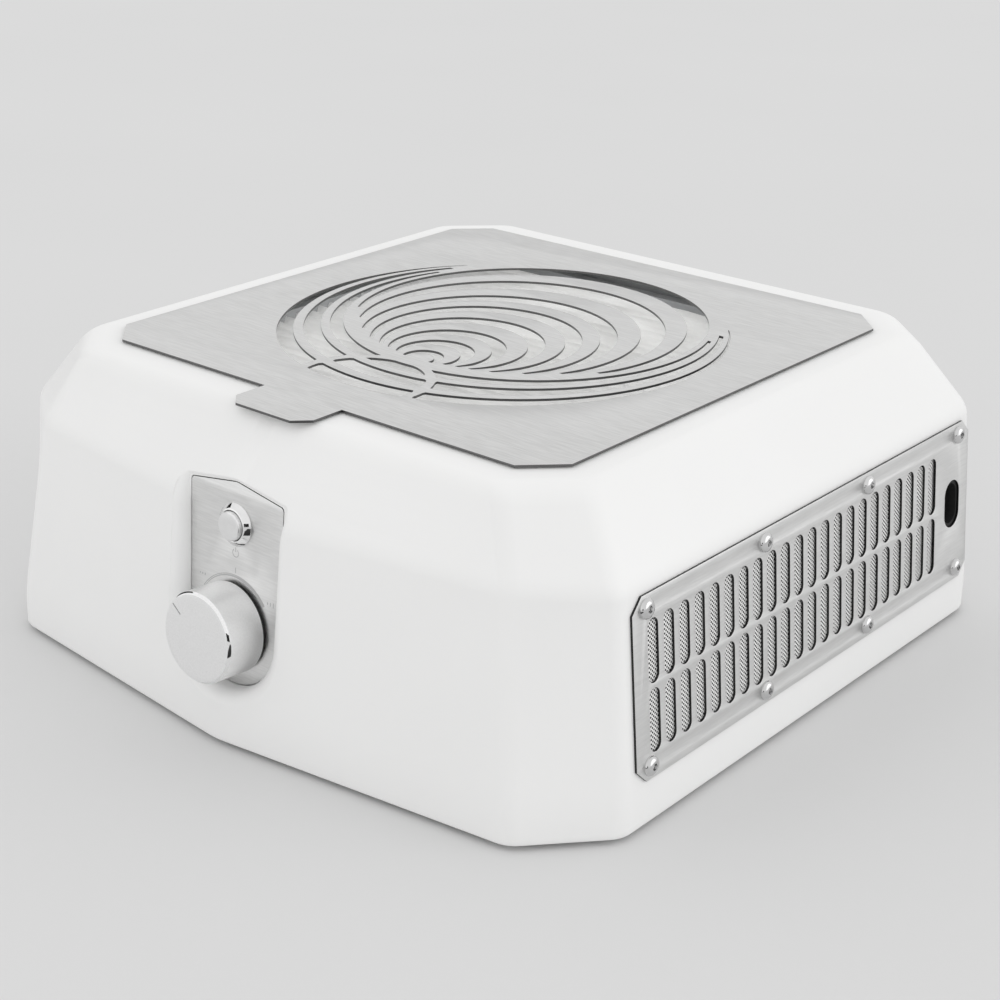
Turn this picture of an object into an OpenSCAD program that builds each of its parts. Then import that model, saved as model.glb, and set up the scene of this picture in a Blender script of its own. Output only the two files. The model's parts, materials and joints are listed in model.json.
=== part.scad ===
// Table-top nail dust collector: faceted housing, slotted lift-off cover, pleated
// filter, centrifugal fan, side exhaust panel and a front speed control.
// Millimetres, +Z up, front towards -Y, exhaust on +X, feet stand on z = 0.

/* [Housing] */
// Half width of the housing at its foot
foot_half_w = 157; // [156:0.5:158]
// Height of the flat rim above the shell underside
rim_h = 121; // [120:0.5:122]
// Height of the shoulder crease above the shell underside
shoulder_h = 91; // [90:0.5:92]
// Wall thickness of the shell
wall = 3.5; // [3:0.25:4]
// Height of the rubber feet below the shell
foot_h = 2; // [1.5:0.5:3]

/* [Cover plate] */
// Side length of the square cover plate
cover_w = 230; // [228:1:232]
// Thickness of the cover plate
cover_t = 1; // [0.8:0.1:1.5]
// Corner chamfer of the cover plate
cover_chamfer = 14; // [10:1:16]
// Width of the finger tab
tab_w = 40; // [36:1:44]
// Length of the finger tab
tab_l = 20.5; // [18:0.5:22]

/* [Exhaust panel] */
// Number of slots in each row
slot_count = 22; // [20:1:22]
// Width of one exhaust slot
slot_w = 6.1; // [5.5:0.1:6.5]
// Length of one exhaust slot
slot_l = 24; // [22:0.5:24.5]
// Thickness of the exhaust panel
panel_t = 1; // [0.8:0.1:1.5]

/* [Controls] */
// Diameter of the speed knob
knob_d = 35; // [33:0.5:36]
// Height of the knob above the control plate
knob_h = 18.7; // [17:0.1:21]
// Diameter of the push button bezel
bezel_d = 16.6; // [15:0.2:17.6]

/* [Fan] */
// Radius of the impeller
impeller_r = 68; // [64:1:70]
// Number of impeller blades
blade_count = 24; // [16:1:32]

/* [Filter] */
// Half width of the filter frame
filter_half = 100; // [98:0.5:101]
// Number of pleats in the filter media
pleat_count = 28; // [20:1:32]

/* [Hidden] */
$fn = 64;
eps = 0.01;

// Shift that puts the origin under the middle of the bounding box
mid_x = 1.31;
mid_y = -9.16;

// Outline at the foot, the shoulder and the rim:
// half width, front y at the corners, extra depth of the front ridge, back y,
// corner chamfer along x and along y
foot_row = [foot_half_w, -151, 14.3, 155, 27, 30];
shoulder_row = [foot_half_w - 6.6, -141, 17.2, 145, 30, 21];
rim_row = [foot_half_w - 28, -130.5, 0, 132.3, 22.5, 22.5];
band_h = 14;
rim_round = 5;
corner_round = 4;
corner_steps = 3;

// Front control recess: plane of the ridge, leaning back by front_tilt
ridge_y = -165.3;
front_tilt = 4.5;
recess_depth = 8.5;
control_t = 1.5;
control_floor = 3.5;
control_half = 24;
control_low_half = 23;
knob_s = 44;
button_s = 83.8;
knob_gap = 0.8;

// Exhaust face: plane of the right wall, leaning in by side_tilt
side_tilt = atan(6.6 / (shoulder_h - band_h));
side_x = foot_half_w + band_h * tan(side_tilt);
panel_y0 = -114.5;
panel_y1 = 121.5;
panel_s0 = 18.3;
panel_s1 = 87.3;
panel_chamfer = 5.5;
slot_y0 = -103.1;
slot_pitch = 9.25;
slot_rows = [39.6, 65.6];
screw_rows = [23.6, 82.3];
screw_y0 = -106.8;
screw_pitch = 73;
inlet_y = 108.5;
inlet_s = 53.1;
inlet_w = 12.2;
inlet_l = 20.6;

// Stack heights above the table
rim_z = rim_h + foot_h;
cover_gap = 0.5;
well_half = 104;
well_wall = 2;
well_floor_z = 88;
filter_z0 = 92;
filter_z1 = 117.5;
base_z = foot_h + 2;
base_t = 2;
volute_z0 = 24;
volute_z1 = 84;
motor_z = 20;

// ---- helpers -------------------------------------------------------------

function lerp(a, b, t) = a + (b - a) * t;
function row_at(z) = z < band_h ? foot_row
    : z < shoulder_h ? lerp(foot_row, shoulder_row, (z - band_h) / (shoulder_h - band_h))
    : lerp(shoulder_row, rim_row, (z - shoulder_h) / (rim_h - shoulder_h));
// Average over a window, which rounds the creases
function soft_row(z, r) = (row_at(z - r) + row_at(z - r / 2) + row_at(z)
    + row_at(z + r / 2) + row_at(z + r)) / 5;
function inset_row(row, d) = [row[0] - d, row[1] + d, row[2], row[3] - d, row[4], row[5]];
function corners(row) = [
    [0, row[1] - row[2]],
    [row[0] - row[4], row[1]],
    [row[0], row[1] + row[5]],
    [row[0], row[3] - row[5]],
    [row[0] - row[4], row[3]],
    [-row[0] + row[4], row[3]],
    [-row[0], row[3] - row[5]],
    [-row[0], row[1] + row[5]],
    [-row[0] + row[4], row[1]]];
function unit(v) = v / norm(v);
function bend(a, b, c, t) = (1 - t) * (1 - t) * a + 2 * t * (1 - t) * b + t * t * c;
// Outline with every corner rounded over the distance d
function outline(row, d) = let (p = corners(row), n = len(p)) [
    for (i = [0 : n - 1])
        let (prev = p[(i + n - 1) % n], here = p[i], next = p[(i + 1) % n])
        for (k = [0 : corner_steps])
            bend(here + d * unit(prev - here), here, here + d * unit(next - here),
                k / corner_steps)];
// Circle through a top point and two tips at the same height
function tip_radius(x, rise) = (x * x + rise * rise) / (2 * rise);

// Solid through outlines stacked at rising heights
module loft(heights, rows, d) {
    rings = [for (row = rows) outline(row, d)];
    n = len(rings[0]);
    top = len(rings) - 1;
    points = [for (i = [0 : top]) for (p = rings[i]) [p[0], p[1], heights[i]]];
    sides = [for (i = [0 : top - 1]) for (j = [0 : n - 1])
        let (a = i * n + j, b = i * n + (j + 1) % n)
        each [[a, a + n, b + n], [a, b + n, b]]];
    polyhedron(points, concat([[for (j = [0 : n - 1]) j]], sides,
        [[for (j = [n - 1 : -1 : 0]) top * n + j]]));
}

module placed() {
    translate([-mid_x, -mid_y, 0])
        children();
}

// Local frame of the front ridge plane: x right, y up the slope, z outwards
module on_front() {
    translate([0, ridge_y, foot_h])
        rotate([90 - front_tilt, 0, 0])
            children();
}

// Local frame of the exhaust face: x to the back, y up the slope, z outwards
module on_side() {
    translate([side_x, 0, foot_h])
        rotate([0, -side_tilt, 0])
            rotate([90, 0, 90])
                children();
}

// Stadium of width w and overall length l along y
module stadium(w, l) {
    square([w, l - w], center = true);
    for (side = [-1, 1])
        translate([0, side * (l - w) / 2])
            circle(d = w, $fn = 24);
}

module ring(r_out, r_in, h) {
    difference() {
        cylinder(r = r_out, h = h);
        translate([0, 0, -1])
            cylinder(r = r_in, h = h + 2);
    }
}

// Button-head socket screw, head above z = 0, shank below
module button_screw(head_r, head_h, shank_r, shank_l, key) {
    difference() {
        union() {
            intersection() {
                cylinder(r = head_r, h = head_h);
                translate([0, 0, head_h - head_r * 1.35])
                    sphere(r = head_r * 1.35, $fn = 48);
            }
            translate([0, 0, -shank_l])
                cylinder(r = shank_r, h = shank_l + eps, $fn = 32);
        }
        translate([0, 0, head_h * 0.35])
            cylinder(r = key / sqrt(3), h = head_h, $fn = 6);
    }
}

// ---- housing -------------------------------------------------------------

module outer_body() {
    rim_low = rim_h - 6;
    steps = [0, band_h - 8, band_h, band_h + 8, shoulder_h - 4, shoulder_h, shoulder_h + 4];
    curl = [0 : 4];
    hull()
        loft(concat(steps, [for (k = curl) bend(rim_low, rim_h, rim_h, k / 4)]),
            concat([for (z = steps) z == 0 ? foot_row : soft_row(z, z > 50 ? 4 : 8)],
                [for (k = curl)
                    bend(row_at(rim_low), rim_row, inset_row(rim_row, rim_round), k / 4)]),
            corner_round);
}

module inner_body() {
    top = rim_h - wall;
    loft([-1, band_h, shoulder_h, top],
        [inset_row(foot_row, wall), inset_row(foot_row, wall),
            inset_row(shoulder_row, wall + 0.6), inset_row(row_at(top), wall + 0.8)],
        corner_round);
}

// Outline of the control plate, rounded below and peaked above
module control_shape(grow) {
    half = control_half + grow;
    low = control_low_half + grow;
    translate([0, knob_s])
        circle(r = low, $fn = 96);
    polygon([[-low, knob_s], [low, knob_s], [half, 96 + grow], [0, 100 + grow],
        [-half, 96 + grow]]);
}

// Recess outline
module recess_shape(grow) {
    translate([0, knob_s])
        circle(r = control_low_half + grow, $fn = 48);
    polygon([[-control_low_half - grow, knob_s], [control_low_half + grow, knob_s],
        [control_half + grow, 96 + grow], [0, 100 + grow], [-control_half - grow, 96 + grow]]);
}

module recess_cut() {
    on_front() {
        // Pocket that takes the control plate
        translate([0, 0, -recess_depth - control_t])
            linear_extrude(control_t + 0.1)
                control_shape(0.4);
        translate([0, 0, -recess_depth])
            linear_extrude(30)
                recess_shape(0.4);
        hull() {
            translate([0, 0, -recess_depth + 2.5])
                linear_extrude(eps)
                    recess_shape(0.4);
            translate([0, 1, 1])
                linear_extrude(eps)
                    recess_shape(6);
        }
    }
}

boss_spots = [[-148.5, -80], [-148.5, 90], [148.5, -80], [148.5, 90],
    [-60, 147], [60, 147], [-70, -149.5], [70, -149.5]];

module housing_shell() {
    difference() {
        union() {
            translate([0, 0, foot_h])
                difference() {
                    outer_body();
                    inner_body();
                }
            intersection() {
                translate([0, 0, foot_h])
                    outer_body();
                on_front()
                    translate([0, 0, -recess_depth - control_t - control_floor])
                        linear_extrude(30)
                            difference() {
                                recess_shape(4);
                                translate([-40, 106])
                                    square([80, 40]);
                            }
            }
            for (p = boss_spots)
                translate([p[0], p[1], base_z + base_t])
                    cylinder(r = 6, h = 9);
        }
        recess_cut();
        // Well opening under the cover
        translate([-well_half, -well_half, rim_z - wall - 2])
            cube([2 * well_half, 2 * well_half, wall + 4]);
        // Holes for the cover studs
        for (p = stud_spots)
            translate([p[0], p[1], rim_z - wall - 1])
                cylinder(r = 2.05, h = wall + 2, $fn = 32);
        // Holes for the button and the knob shaft
        on_front() {
            translate([0, button_s, -30])
                cylinder(r = 6.1, h = 25);
            translate([0, knob_s, -30])
                cylinder(r = 3.7, h = 25);
        }
        // Exhaust window and power inlet hole
        on_side() {
            translate([slot_y0 - 6, slot_rows[0] - 14, -12])
                cube([slot_pitch * 21 + 12, slot_rows[1] - slot_rows[0] + 28, 20]);
            translate([inlet_y, inlet_s, -8])
                linear_extrude(20)
                    stadium(inlet_w + 4.2, inlet_l + 4.2);
            for (i = [0 : 3], s = screw_rows)
                translate([screw_y0 + i * screw_pitch, s, -8])
                    cylinder(r = 1.62, h = 12, $fn = 32);
        }
        // Blind holes for the base screws
        for (p = boss_spots)
            translate([p[0], p[1], base_z + base_t - 1])
                cylinder(r = 1.45, h = 8, $fn = 32);
    }
}

stud_spots = [[-109, -80], [109, -80], [-109, 80], [109, 80]];

module base_plate() {
    low = inset_row(foot_row, wall + 0.5);
    difference() {
        translate([0, 0, base_z])
            linear_extrude(base_t)
                polygon(outline(low, corner_round));
        for (p = boss_spots)
            translate([p[0], p[1], 0])
                cylinder(r = 1.7, h = 20, $fn = 32);
        for (a = [45 : 90 : 359])
            rotate(a)
                translate([52, 0, 0])
                    cylinder(r = 2.1, h = 20, $fn = 32);
    }
}

module base_screws() {
    for (p = boss_spots)
        translate([p[0], p[1], base_z])
            rotate([180, 0, 0])
                button_screw(2.8, 1.6, 1.44, 8, 2);
}

foot_spots = [[-132, -118], [132, -118], [-132, 125], [132, 125]];

module rubber_feet() {
    for (p = foot_spots)
        translate([p[0], p[1], 0]) {
            cylinder(r = 9, h = base_z);
            cylinder(r = 7.6, h = base_z);
        }
}

// ---- cover ---------------------------------------------------------------

swirl_x = 1.6;
slot_tip_w = 1.7;
// Crescent openings from the outside in: half spread of the tips, height of the
// tips, top of the outer edge, top of the inner edge
crescents = [
    [63.0, -20.0, 90.5, 78.4],
    [52.6, -30.0, 67.2, 53.8],
    [42.0, -39.7, 42.0, 33.0],
    [31.2, -46.5, 24.6, 16.0],
    [23.2, -49.4, 6.5, -2.0],
    [17.6, -50.6, -12.3, -19.5],
    [12.2, -51.9, -27.5, -34.5],
    [6.6, -53.8, -42.1, -46.6]];
// Sweeping slots: centre y and radius of the inner edge, centre y and radius of
// the outer edge, height at which the slot ends
sweeps = [
    [15.2, 76.5, 11.4, 79.3, 41.6],
    [9.9, 82.0, 5.5, 86.0, 50.2],
    [3.8, 89.0, -1.0, 92.3, 58.5]];
arch_y = -85.2;
arch_r = 24.6;
arch_w = 3.6;

module crescent(c) {
    r_out = tip_radius(c[0] + slot_tip_w / 2, c[2] - c[1]);
    r_in = tip_radius(c[0] - slot_tip_w / 2, c[3] - c[1]);
    intersection() {
        difference() {
            translate([0, c[2] - r_out])
                circle(r = r_out, $fn = 128);
            translate([0, c[3] - r_in])
                circle(r = r_in, $fn = 128);
        }
        translate([-100, c[1]])
            square([200, 200]);
    }
}

module sweep_slot(s) {
    intersection() {
        difference() {
            translate([0, s[2]])
                circle(r = s[3], $fn = 160);
            translate([0, s[0]])
                circle(r = s[1], $fn = 160);
        }
        translate([-100, s[4] - 200])
            square([200, 200]);
    }
}

module grille_openings() {
    translate([swirl_x, 0]) {
        for (c = crescents)
            crescent(c);
        difference() {
            for (s = sweeps)
                sweep_slot(s);
            translate([0, arch_y])
                difference() {
                    circle(r = arch_r + arch_w, $fn = 96);
                    circle(r = arch_r, $fn = 96);
                }
        }
    }
}

module cover_outline() {
    h = cover_w / 2;
    c = cover_chamfer;
    t = tab_w / 2;
    k = 6;
    polygon([[-h + c, -h], [-t, -h], [-t, -h - tab_l + k], [-t + k, -h - tab_l],
        [t - k, -h - tab_l], [t, -h - tab_l + k], [t, -h], [h - c, -h], [h, -h + c],
        [h, h - c], [h - c, h], [-h + c, h], [-h, h - c], [-h, -h + c]]);
}

module cover_plate() {
    translate([0, 0, rim_z + cover_gap])
        linear_extrude(cover_t)
            difference() {
                cover_outline();
                grille_openings();
            }
}

// Studs with a shoulder that holds the cover just clear of the rim
module cover_studs() {
    for (p = stud_spots)
        translate([p[0], p[1], rim_z]) {
            translate([0, 0, -3])
                cylinder(r = 2, h = 3.1, $fn = 32);
            cylinder(r = 3.5, h = cover_gap, $fn = 32);
        }
}

// ---- filter --------------------------------------------------------------

frame_wall = 5;

module filter_frame() {
    f = filter_half;
    translate([0, 0, filter_z0])
        difference() {
            translate([-f, -f, 0])
                cube([2 * f, 2 * f, filter_z1 - filter_z0]);
            translate([-f + frame_wall, -f + frame_wall, -1])
                cube([2 * (f - frame_wall), 2 * (f - frame_wall), 40]);
        }
}

module filter_pleats() {
    half = filter_half - frame_wall - 0.1;
    pitch = 2 * half / pleat_count;
    t = 0.7;
    low = filter_z0 + 1;
    high = filter_z1 - 1.5;
    upper = [for (i = [0 : 2 * pleat_count])
        [-half + i * pitch / 2, (i % 2 == 0 ? low : high - t)]];
    top_line = [for (p = upper) [p[0], p[1] + t * 2.2]];
    back = [for (i = [2 * pleat_count : -1 : 0]) top_line[i]];
    translate([-half, 0, 0])
        rotate([90, 0, 90])
            linear_extrude(2 * half)
                polygon(concat(upper, back));
}

module filter_gasket() {
    f = filter_half - 0.5;
    translate([0, 0, well_floor_z + well_wall])
        difference() {
            translate([-f, -f, 0])
                cube([2 * f, 2 * f, filter_z0 - well_floor_z - well_wall]);
            translate([-f + 9, -f + 9, -1])
                cube([2 * f - 18, 2 * f - 18, 10]);
        }
}

// Tub that carries the filter, hung under the rim, with the fan inlet in its floor
module filter_well() {
    top = rim_z - wall;
    o = well_half + well_wall;
    difference() {
        union() {
            translate([-o, -o, well_floor_z])
                cube([2 * o, 2 * o, top - well_floor_z]);
            translate([-o - 2, -o - 2, top - 2])
                cube([2 * o + 4, 2 * o + 4, 2]);
        }
        translate([-well_half, -well_half, well_floor_z + well_wall])
            cube([2 * well_half, 2 * well_half, 60]);
        translate([0, 0, well_floor_z - 1])
            cylinder(r = impeller_r - 4, h = 10, $fn = 96);
    }
}

// ---- fan -----------------------------------------------------------------

module finger_guard() {
    z = well_floor_z - 1.2;
    for (r = [14, 28, 42, 56])
        translate([0, 0, z])
            ring(r + 1, r - 1, 1.2);
    for (a = [0 : 60 : 179])
        rotate(a)
            translate([-impeller_r - 2, -1, z])
                cube([2 * impeller_r + 4, 2, 1.2]);
    translate([0, 0, z])
        ring(impeller_r + 2, impeller_r - 3, 1.2);
}

scroll_r0 = 76;
scroll_grow = 30;
function scroll_r(a) = scroll_r0 + scroll_grow * a / 360;
function scroll(extra) = [for (a = [0 : 6 : 360])
    (scroll_r(a) + extra) * [cos(a - 90), sin(a - 90)]];

module scroll_area(extra) {
    polygon(scroll(extra));
    // Outlet mouth runs out to the right along the front of the scroll
    translate([0, -scroll_r(360) - extra])
        square([scroll_r(360) + 8, scroll_r(360) - 40 + 2 * extra]);
}

module fan_volute() {
    difference() {
        translate([0, 0, volute_z0])
            linear_extrude(volute_z1 - volute_z0)
                scroll_area(2.2);
        translate([0, 0, volute_z0 + 2])
            linear_extrude(volute_z1 - volute_z0 - 4)
                scroll_area(0);
        translate([60, -scroll_r(360), volute_z0 + 2])
            cube([80, scroll_r(360) - 40, volute_z1 - volute_z0 - 4]);
        translate([0, 0, volute_z1 - 5])
            cylinder(r = impeller_r - 6, h = 10, $fn = 96);
        translate([0, 0, volute_z0 - 5])
            cylinder(r = 33, h = 10);
    }
}

// Bell mouth between the well floor and the volute
module fan_inlet_ring() {
    translate([0, 0, volute_z1])
        ring(impeller_r + 2, impeller_r - 5, well_floor_z - 1.2 - volute_z1);
}

module impeller() {
    z0 = 36;
    h = 42;
    translate([0, 0, z0]) {
        difference() {
            cylinder(r = impeller_r, h = 2.5, $fn = 96);
            translate([0, 0, -1])
                cylinder(r = 4, h = 10, $fn = 32);
        }
        difference() {
            cylinder(r = 12, h = 22);
            translate([0, 0, -1])
                cylinder(r = 4, h = 30, $fn = 32);
        }
        translate([0, 0, h - 2])
            ring(impeller_r, impeller_r - 9, 2);
        for (i = [0 : blade_count - 1])
            rotate(i * 360 / blade_count)
                translate([impeller_r - 1.6, 0, 1])
                    rotate(35)
                        translate([-15, -0.7, 0])
                            cube([15, 1.4, h - 2]);
    }
}

module motor_body() {
    difference() {
        union() {
            translate([0, 0, motor_z + 2])
                cylinder(r = 28, h = 11);
            translate([0, 0, motor_z + 2])
                cylinder(r = 31, h = 2);
        }
        translate([0, 0, motor_z + 1])
            cylinder(r = 8, h = 30);
    }
}

module motor_shaft() {
    translate([0, 0, motor_z + 2.5])
        cylinder(r = 3.97, h = 38.5, $fn = 48);
}

module motor_bearings() {
    for (z = [motor_z + 3, motor_z + 8])
        translate([0, 0, z])
            ring(8, 4, 4);
}

module motor_plate() {
    difference() {
        translate([0, 0, motor_z])
            cylinder(r = 60, h = 2, $fn = 96);
        for (a = [45 : 90 : 359])
            rotate(a) {
                translate([52, 0, 0])
                    cylinder(r = 2.1, h = 40, $fn = 32);
                translate([29.5, 0, 0])
                    cylinder(r = 0.6, h = 40, $fn = 24);
            }
    }
}

module motor_screws() {
    for (a = [45 : 90 : 359])
        rotate(a)
            translate([52, 0, motor_z + 2])
                button_screw(3.6, 2, 2, motor_z + 2 - base_z - 0.4, 2.5);
}

module motor_mounts() {
    for (a = [45 : 90 : 359])
        rotate(a)
            translate([52, 0, base_z + base_t])
                ring(6, 2.1, motor_z - base_z - base_t);
}

// ---- exhaust side --------------------------------------------------------

module exhaust_plenum() {
    w = slot_pitch * 21 + 18;
    y0 = slot_y0 - 10;
    x0 = scroll_r(360) + 8.2;
    x1 = side_x - 12;
    z0 = slot_rows[0] - 18;
    h = slot_rows[1] - slot_rows[0] + 38;
    difference() {
        translate([x0, y0, z0 + foot_h])
            cube([x1 - x0, w, h]);
        translate([x0 - 1, y0 + 2, z0 + foot_h + 2])
            cube([x1 - x0 + 2, w - 4, h - 4]);
    }
}

module panel_outline() {
    c = panel_chamfer;
    polygon([[panel_y0 + c, panel_s0], [panel_y1 - c, panel_s0], [panel_y1, panel_s0 + c],
        [panel_y1, panel_s1 - c], [panel_y1 - c, panel_s1], [panel_y0 + c, panel_s1],
        [panel_y0, panel_s1 - c], [panel_y0, panel_s0 + c]]);
}

module exhaust_panel() {
    on_side()
        linear_extrude(panel_t)
            difference() {
                panel_outline();
                for (i = [0 : slot_count - 1], s = slot_rows)
                    translate([slot_y0 + i * slot_pitch, s])
                        stadium(slot_w, slot_l);
                for (i = [0 : 3], s = screw_rows)
                    translate([screw_y0 + i * screw_pitch, s])
                        circle(r = 2.1, $fn = 32);
                translate([inlet_y, inlet_s])
                    stadium(inlet_w, inlet_l);
            }
}

// Perforated sheet behind the slots
module exhaust_mesh() {
    w = slot_pitch * 21 + 11;
    h = slot_rows[1] - slot_rows[0] + 27;
    nx = 42;
    ny = 9;
    on_side()
        translate([slot_y0 - 5.5, slot_rows[0] - 13.5, -0.8])
            linear_extrude(0.8)
                difference() {
                    square([w, h]);
                    for (i = [0 : nx - 1], j = [0 : ny - 1])
                        translate([5 + i * (w - 12) / (nx - 1) + (j % 2) * 2.2,
                                4.5 + j * (h - 9) / (ny - 1)])
                            circle(r = 1.7, $fn = 16);
                }
}

module panel_screws() {
    on_side()
        for (i = [0 : 3], s = screw_rows)
            translate([screw_y0 + i * screw_pitch, s, panel_t])
                button_screw(3.8, 2.2, 1.6, 8, 2.5);
}

// Two-pole appliance inlet, open towards the panel
module power_inlet() {
    on_side()
        translate([inlet_y, inlet_s, 0])
            difference() {
                translate([0, 0, -20])
                    linear_extrude(20)
                        stadium(inlet_w + 4, inlet_l + 4);
                translate([0, 0, -14])
                    linear_extrude(20)
                        stadium(inlet_w - 2, inlet_l - 3);
                for (side = [-1, 1])
                    translate([0, side * 4.3, -25])
                        cylinder(r = 1.2, h = 20, $fn = 32);
            }
}

module inlet_pins() {
    on_side()
        for (side = [-1, 1])
            translate([inlet_y, inlet_s + side * 4.3, -24])
                cylinder(r = 1.2, h = 21, $fn = 32);
}

// Supply board on the left of the base plate
module power_board() {
    translate([-145, -50, base_z + base_t + 4])
        cube([32, 100, 1.6]);
    for (y = [-44, 44])
        translate([-129, y, base_z + base_t])
            cylinder(r = 3, h = 4, $fn = 32);
}

module power_parts() {
    z = base_z + base_t + 5.6;
    translate([-142, -34, z])
        cube([24, 22, 20]);
    for (y = [0, 14])
        translate([-130, y, z])
            cylinder(r = 6, h = 22, $fn = 48);
    translate([-140, 26, z])
        cube([20, 16, 12]);
}

// ---- controls ------------------------------------------------------------

module control_plate() {
    on_front()
        translate([0, 0, -recess_depth - control_t])
            linear_extrude(control_t)
                difference() {
                    control_shape(0);
                    translate([0, button_s])
                        circle(r = 6.1, $fn = 64);
                    translate([0, knob_s])
                        circle(r = 3.7, $fn = 64);
                }
}

// Conical bezel with its threaded barrel behind the plate
module button_bezel() {
    on_front()
        translate([0, button_s, -recess_depth])
            difference() {
                union() {
                    rotate_extrude($fn = 96)
                        polygon([[0, 0], [bezel_d / 2, 0], [bezel_d / 2, 0.5],
                            [6.2, 2.5], [0, 2.5]]);
                    translate([0, 0, -14])
                        cylinder(r = 6, h = 14.1);
                }
                translate([0, 0, -2.5])
                    cylinder(r = 5.75, h = 10);
                translate([0, 0, -20])
                    cylinder(r = 4.2, h = 30);
            }
}

module button_cap() {
    on_front()
        translate([0, button_s, -recess_depth])
            rotate_extrude($fn = 96)
                polygon([[0, -10], [4.1, -10], [4.1, -0.4], [5.65, -0.4], [5.55, 3.6],
                    [5.15, 4.1], [0, 4.1]]);
}

module button_switch() {
    on_front()
        translate([0, button_s, -recess_depth - 14]) {
            translate([-7, -7, -9])
                cube([14, 14, 9]);
            for (side = [-1, 1])
                translate([side * 3.5 - 0.4, -1.2, -14])
                    cube([0.8, 2.4, 5]);
        }
}

module button_nut() {
    on_front()
        translate([0, button_s, -recess_depth - control_t - control_floor - 2.5])
            difference() {
                cylinder(r = 9, h = 2.5, $fn = 6);
                translate([0, 0, -1])
                    cylinder(r = 6.05, h = 6);
            }
}

// Turned knob with a chamfered rim, a recessed pointer line and a blind bore
module knob() {
    r = knob_d / 2;
    on_front()
        translate([0, knob_s, -recess_depth])
            difference() {
                rotate_extrude($fn = 128)
                    polygon([[0, knob_gap], [r - 1.2, knob_gap], [r - 1.2, knob_gap + 0.8],
                        [r, knob_gap + 1.4], [r, knob_h - 0.9], [r - 0.9, knob_h],
                        [0, knob_h]]);
                cylinder(r = 3, h = 15, $fn = 48);
                translate([0, 0, -1])
                    cylinder(r = 6.6, h = 5);
                rotate(142)
                    translate([r - 6.5, -0.35, knob_h - 0.5])
                        cube([5.2, 0.7, 2]);
            }
}

module pot_shaft() {
    on_front()
        translate([0, knob_s, -recess_depth - control_t - control_floor - 4])
            cylinder(r = 3, h = 18.8, $fn = 48);
}

module pot_body() {
    on_front()
        translate([0, knob_s, -recess_depth - control_t - control_floor]) {
            difference() {
                union() {
                    translate([0, 0, -8])
                        cylinder(r = 8.5, h = 8);
                    cylinder(r = 3.6, h = control_t + control_floor + 3.4, $fn = 48);
                }
                translate([0, 0, -5])
                    cylinder(r = 3.05, h = 30, $fn = 48);
            }
            for (x = [-5, 0, 5])
                translate([x - 0.5, -14, -5])
                    cube([1, 7, 0.8]);
        }
}

module pot_nut() {
    on_front()
        translate([0, knob_s, -recess_depth])
            difference() {
                cylinder(r = 5.8, h = 2.2, $fn = 6);
                translate([0, 0, -1])
                    cylinder(r = 3.65, h = 6, $fn = 48);
            }
}

module speed_board() {
    on_front()
        translate([-24, 24, -recess_depth - control_t - control_floor - 20])
            cube([48, 40, 1.6]);
}

// ---- assembly ------------------------------------------------------------

color("#f2f2f0") placed() housing_shell();
color("#c9cacb") placed() base_plate();
color("#b8b8b8") placed() base_screws();
color("#202020") placed() rubber_feet();
color("#c6c6c4") placed() cover_plate();
color("#b5b5b5") placed() cover_studs();
color("#8f9193") placed() filter_frame();
color("#f0f0ea") placed() filter_pleats();
color("#3a3a3a") placed() filter_gasket();
color("#a8aaac") placed() filter_well();
color("#8a8a8a") placed() finger_guard();
color("#2e3032") placed() fan_volute();
color("#3a3c3e") placed() fan_inlet_ring();
color("#1e1f20") placed() impeller();
color("#7d8083") placed() motor_body();
color("#c8c8c8") placed() motor_shaft();
color("#bdbdbd") placed() motor_bearings();
color("#b0b2b4") placed() motor_plate();
color("#b8b8b8") placed() motor_screws();
color("#1c1c1c") placed() motor_mounts();
color("#a8aaac") placed() exhaust_plenum();
color("#c6c6c4") placed() exhaust_panel();
color("#9c9c9a") placed() exhaust_mesh();
color("#d0d0d0") placed() panel_screws();
color("#151515") placed() power_inlet();
color("#d4cfa8") placed() inlet_pins();
color("#2d6b3c") placed() power_board();
color("#2a2a2a") placed() power_parts();
color("#c6c6c4") placed() control_plate();
color("#e0e0e0") placed() button_bezel();
color("#d8d8d6") placed() button_cap();
color("#1a1a1a") placed() button_switch();
color("#bdbdbd") placed() button_nut();
color("#cfcfcf") placed() knob();
color("#c2c2c2") placed() pot_shaft();
color("#303030") placed() pot_body();
color("#bdbdbd") placed() pot_nut();
color("#2d6b3c") placed() speed_board();
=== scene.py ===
import json
import math

import bmesh
import bpy
from mathutils import Matrix, Vector


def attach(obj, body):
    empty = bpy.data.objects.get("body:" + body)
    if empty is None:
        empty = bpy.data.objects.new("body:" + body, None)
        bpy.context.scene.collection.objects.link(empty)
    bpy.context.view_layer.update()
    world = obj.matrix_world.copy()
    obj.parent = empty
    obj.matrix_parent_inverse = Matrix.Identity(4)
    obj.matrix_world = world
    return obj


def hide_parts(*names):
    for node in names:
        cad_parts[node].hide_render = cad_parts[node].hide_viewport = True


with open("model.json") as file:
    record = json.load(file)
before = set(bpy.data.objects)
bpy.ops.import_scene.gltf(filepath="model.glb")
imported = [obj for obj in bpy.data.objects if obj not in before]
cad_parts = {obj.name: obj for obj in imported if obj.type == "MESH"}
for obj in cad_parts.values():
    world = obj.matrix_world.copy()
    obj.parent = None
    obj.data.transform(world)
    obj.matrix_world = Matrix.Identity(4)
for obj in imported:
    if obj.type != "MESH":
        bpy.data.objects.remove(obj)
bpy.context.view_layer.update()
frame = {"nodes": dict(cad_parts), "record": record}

# ---- driving sizes, in millimetres -------------------------------------------

MM = 0.001
# Middle of the part's bounding box before it is moved to the origin
MID_X = 1.31
MID_Y = -9.16
FOOT_H = 2.0

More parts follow.
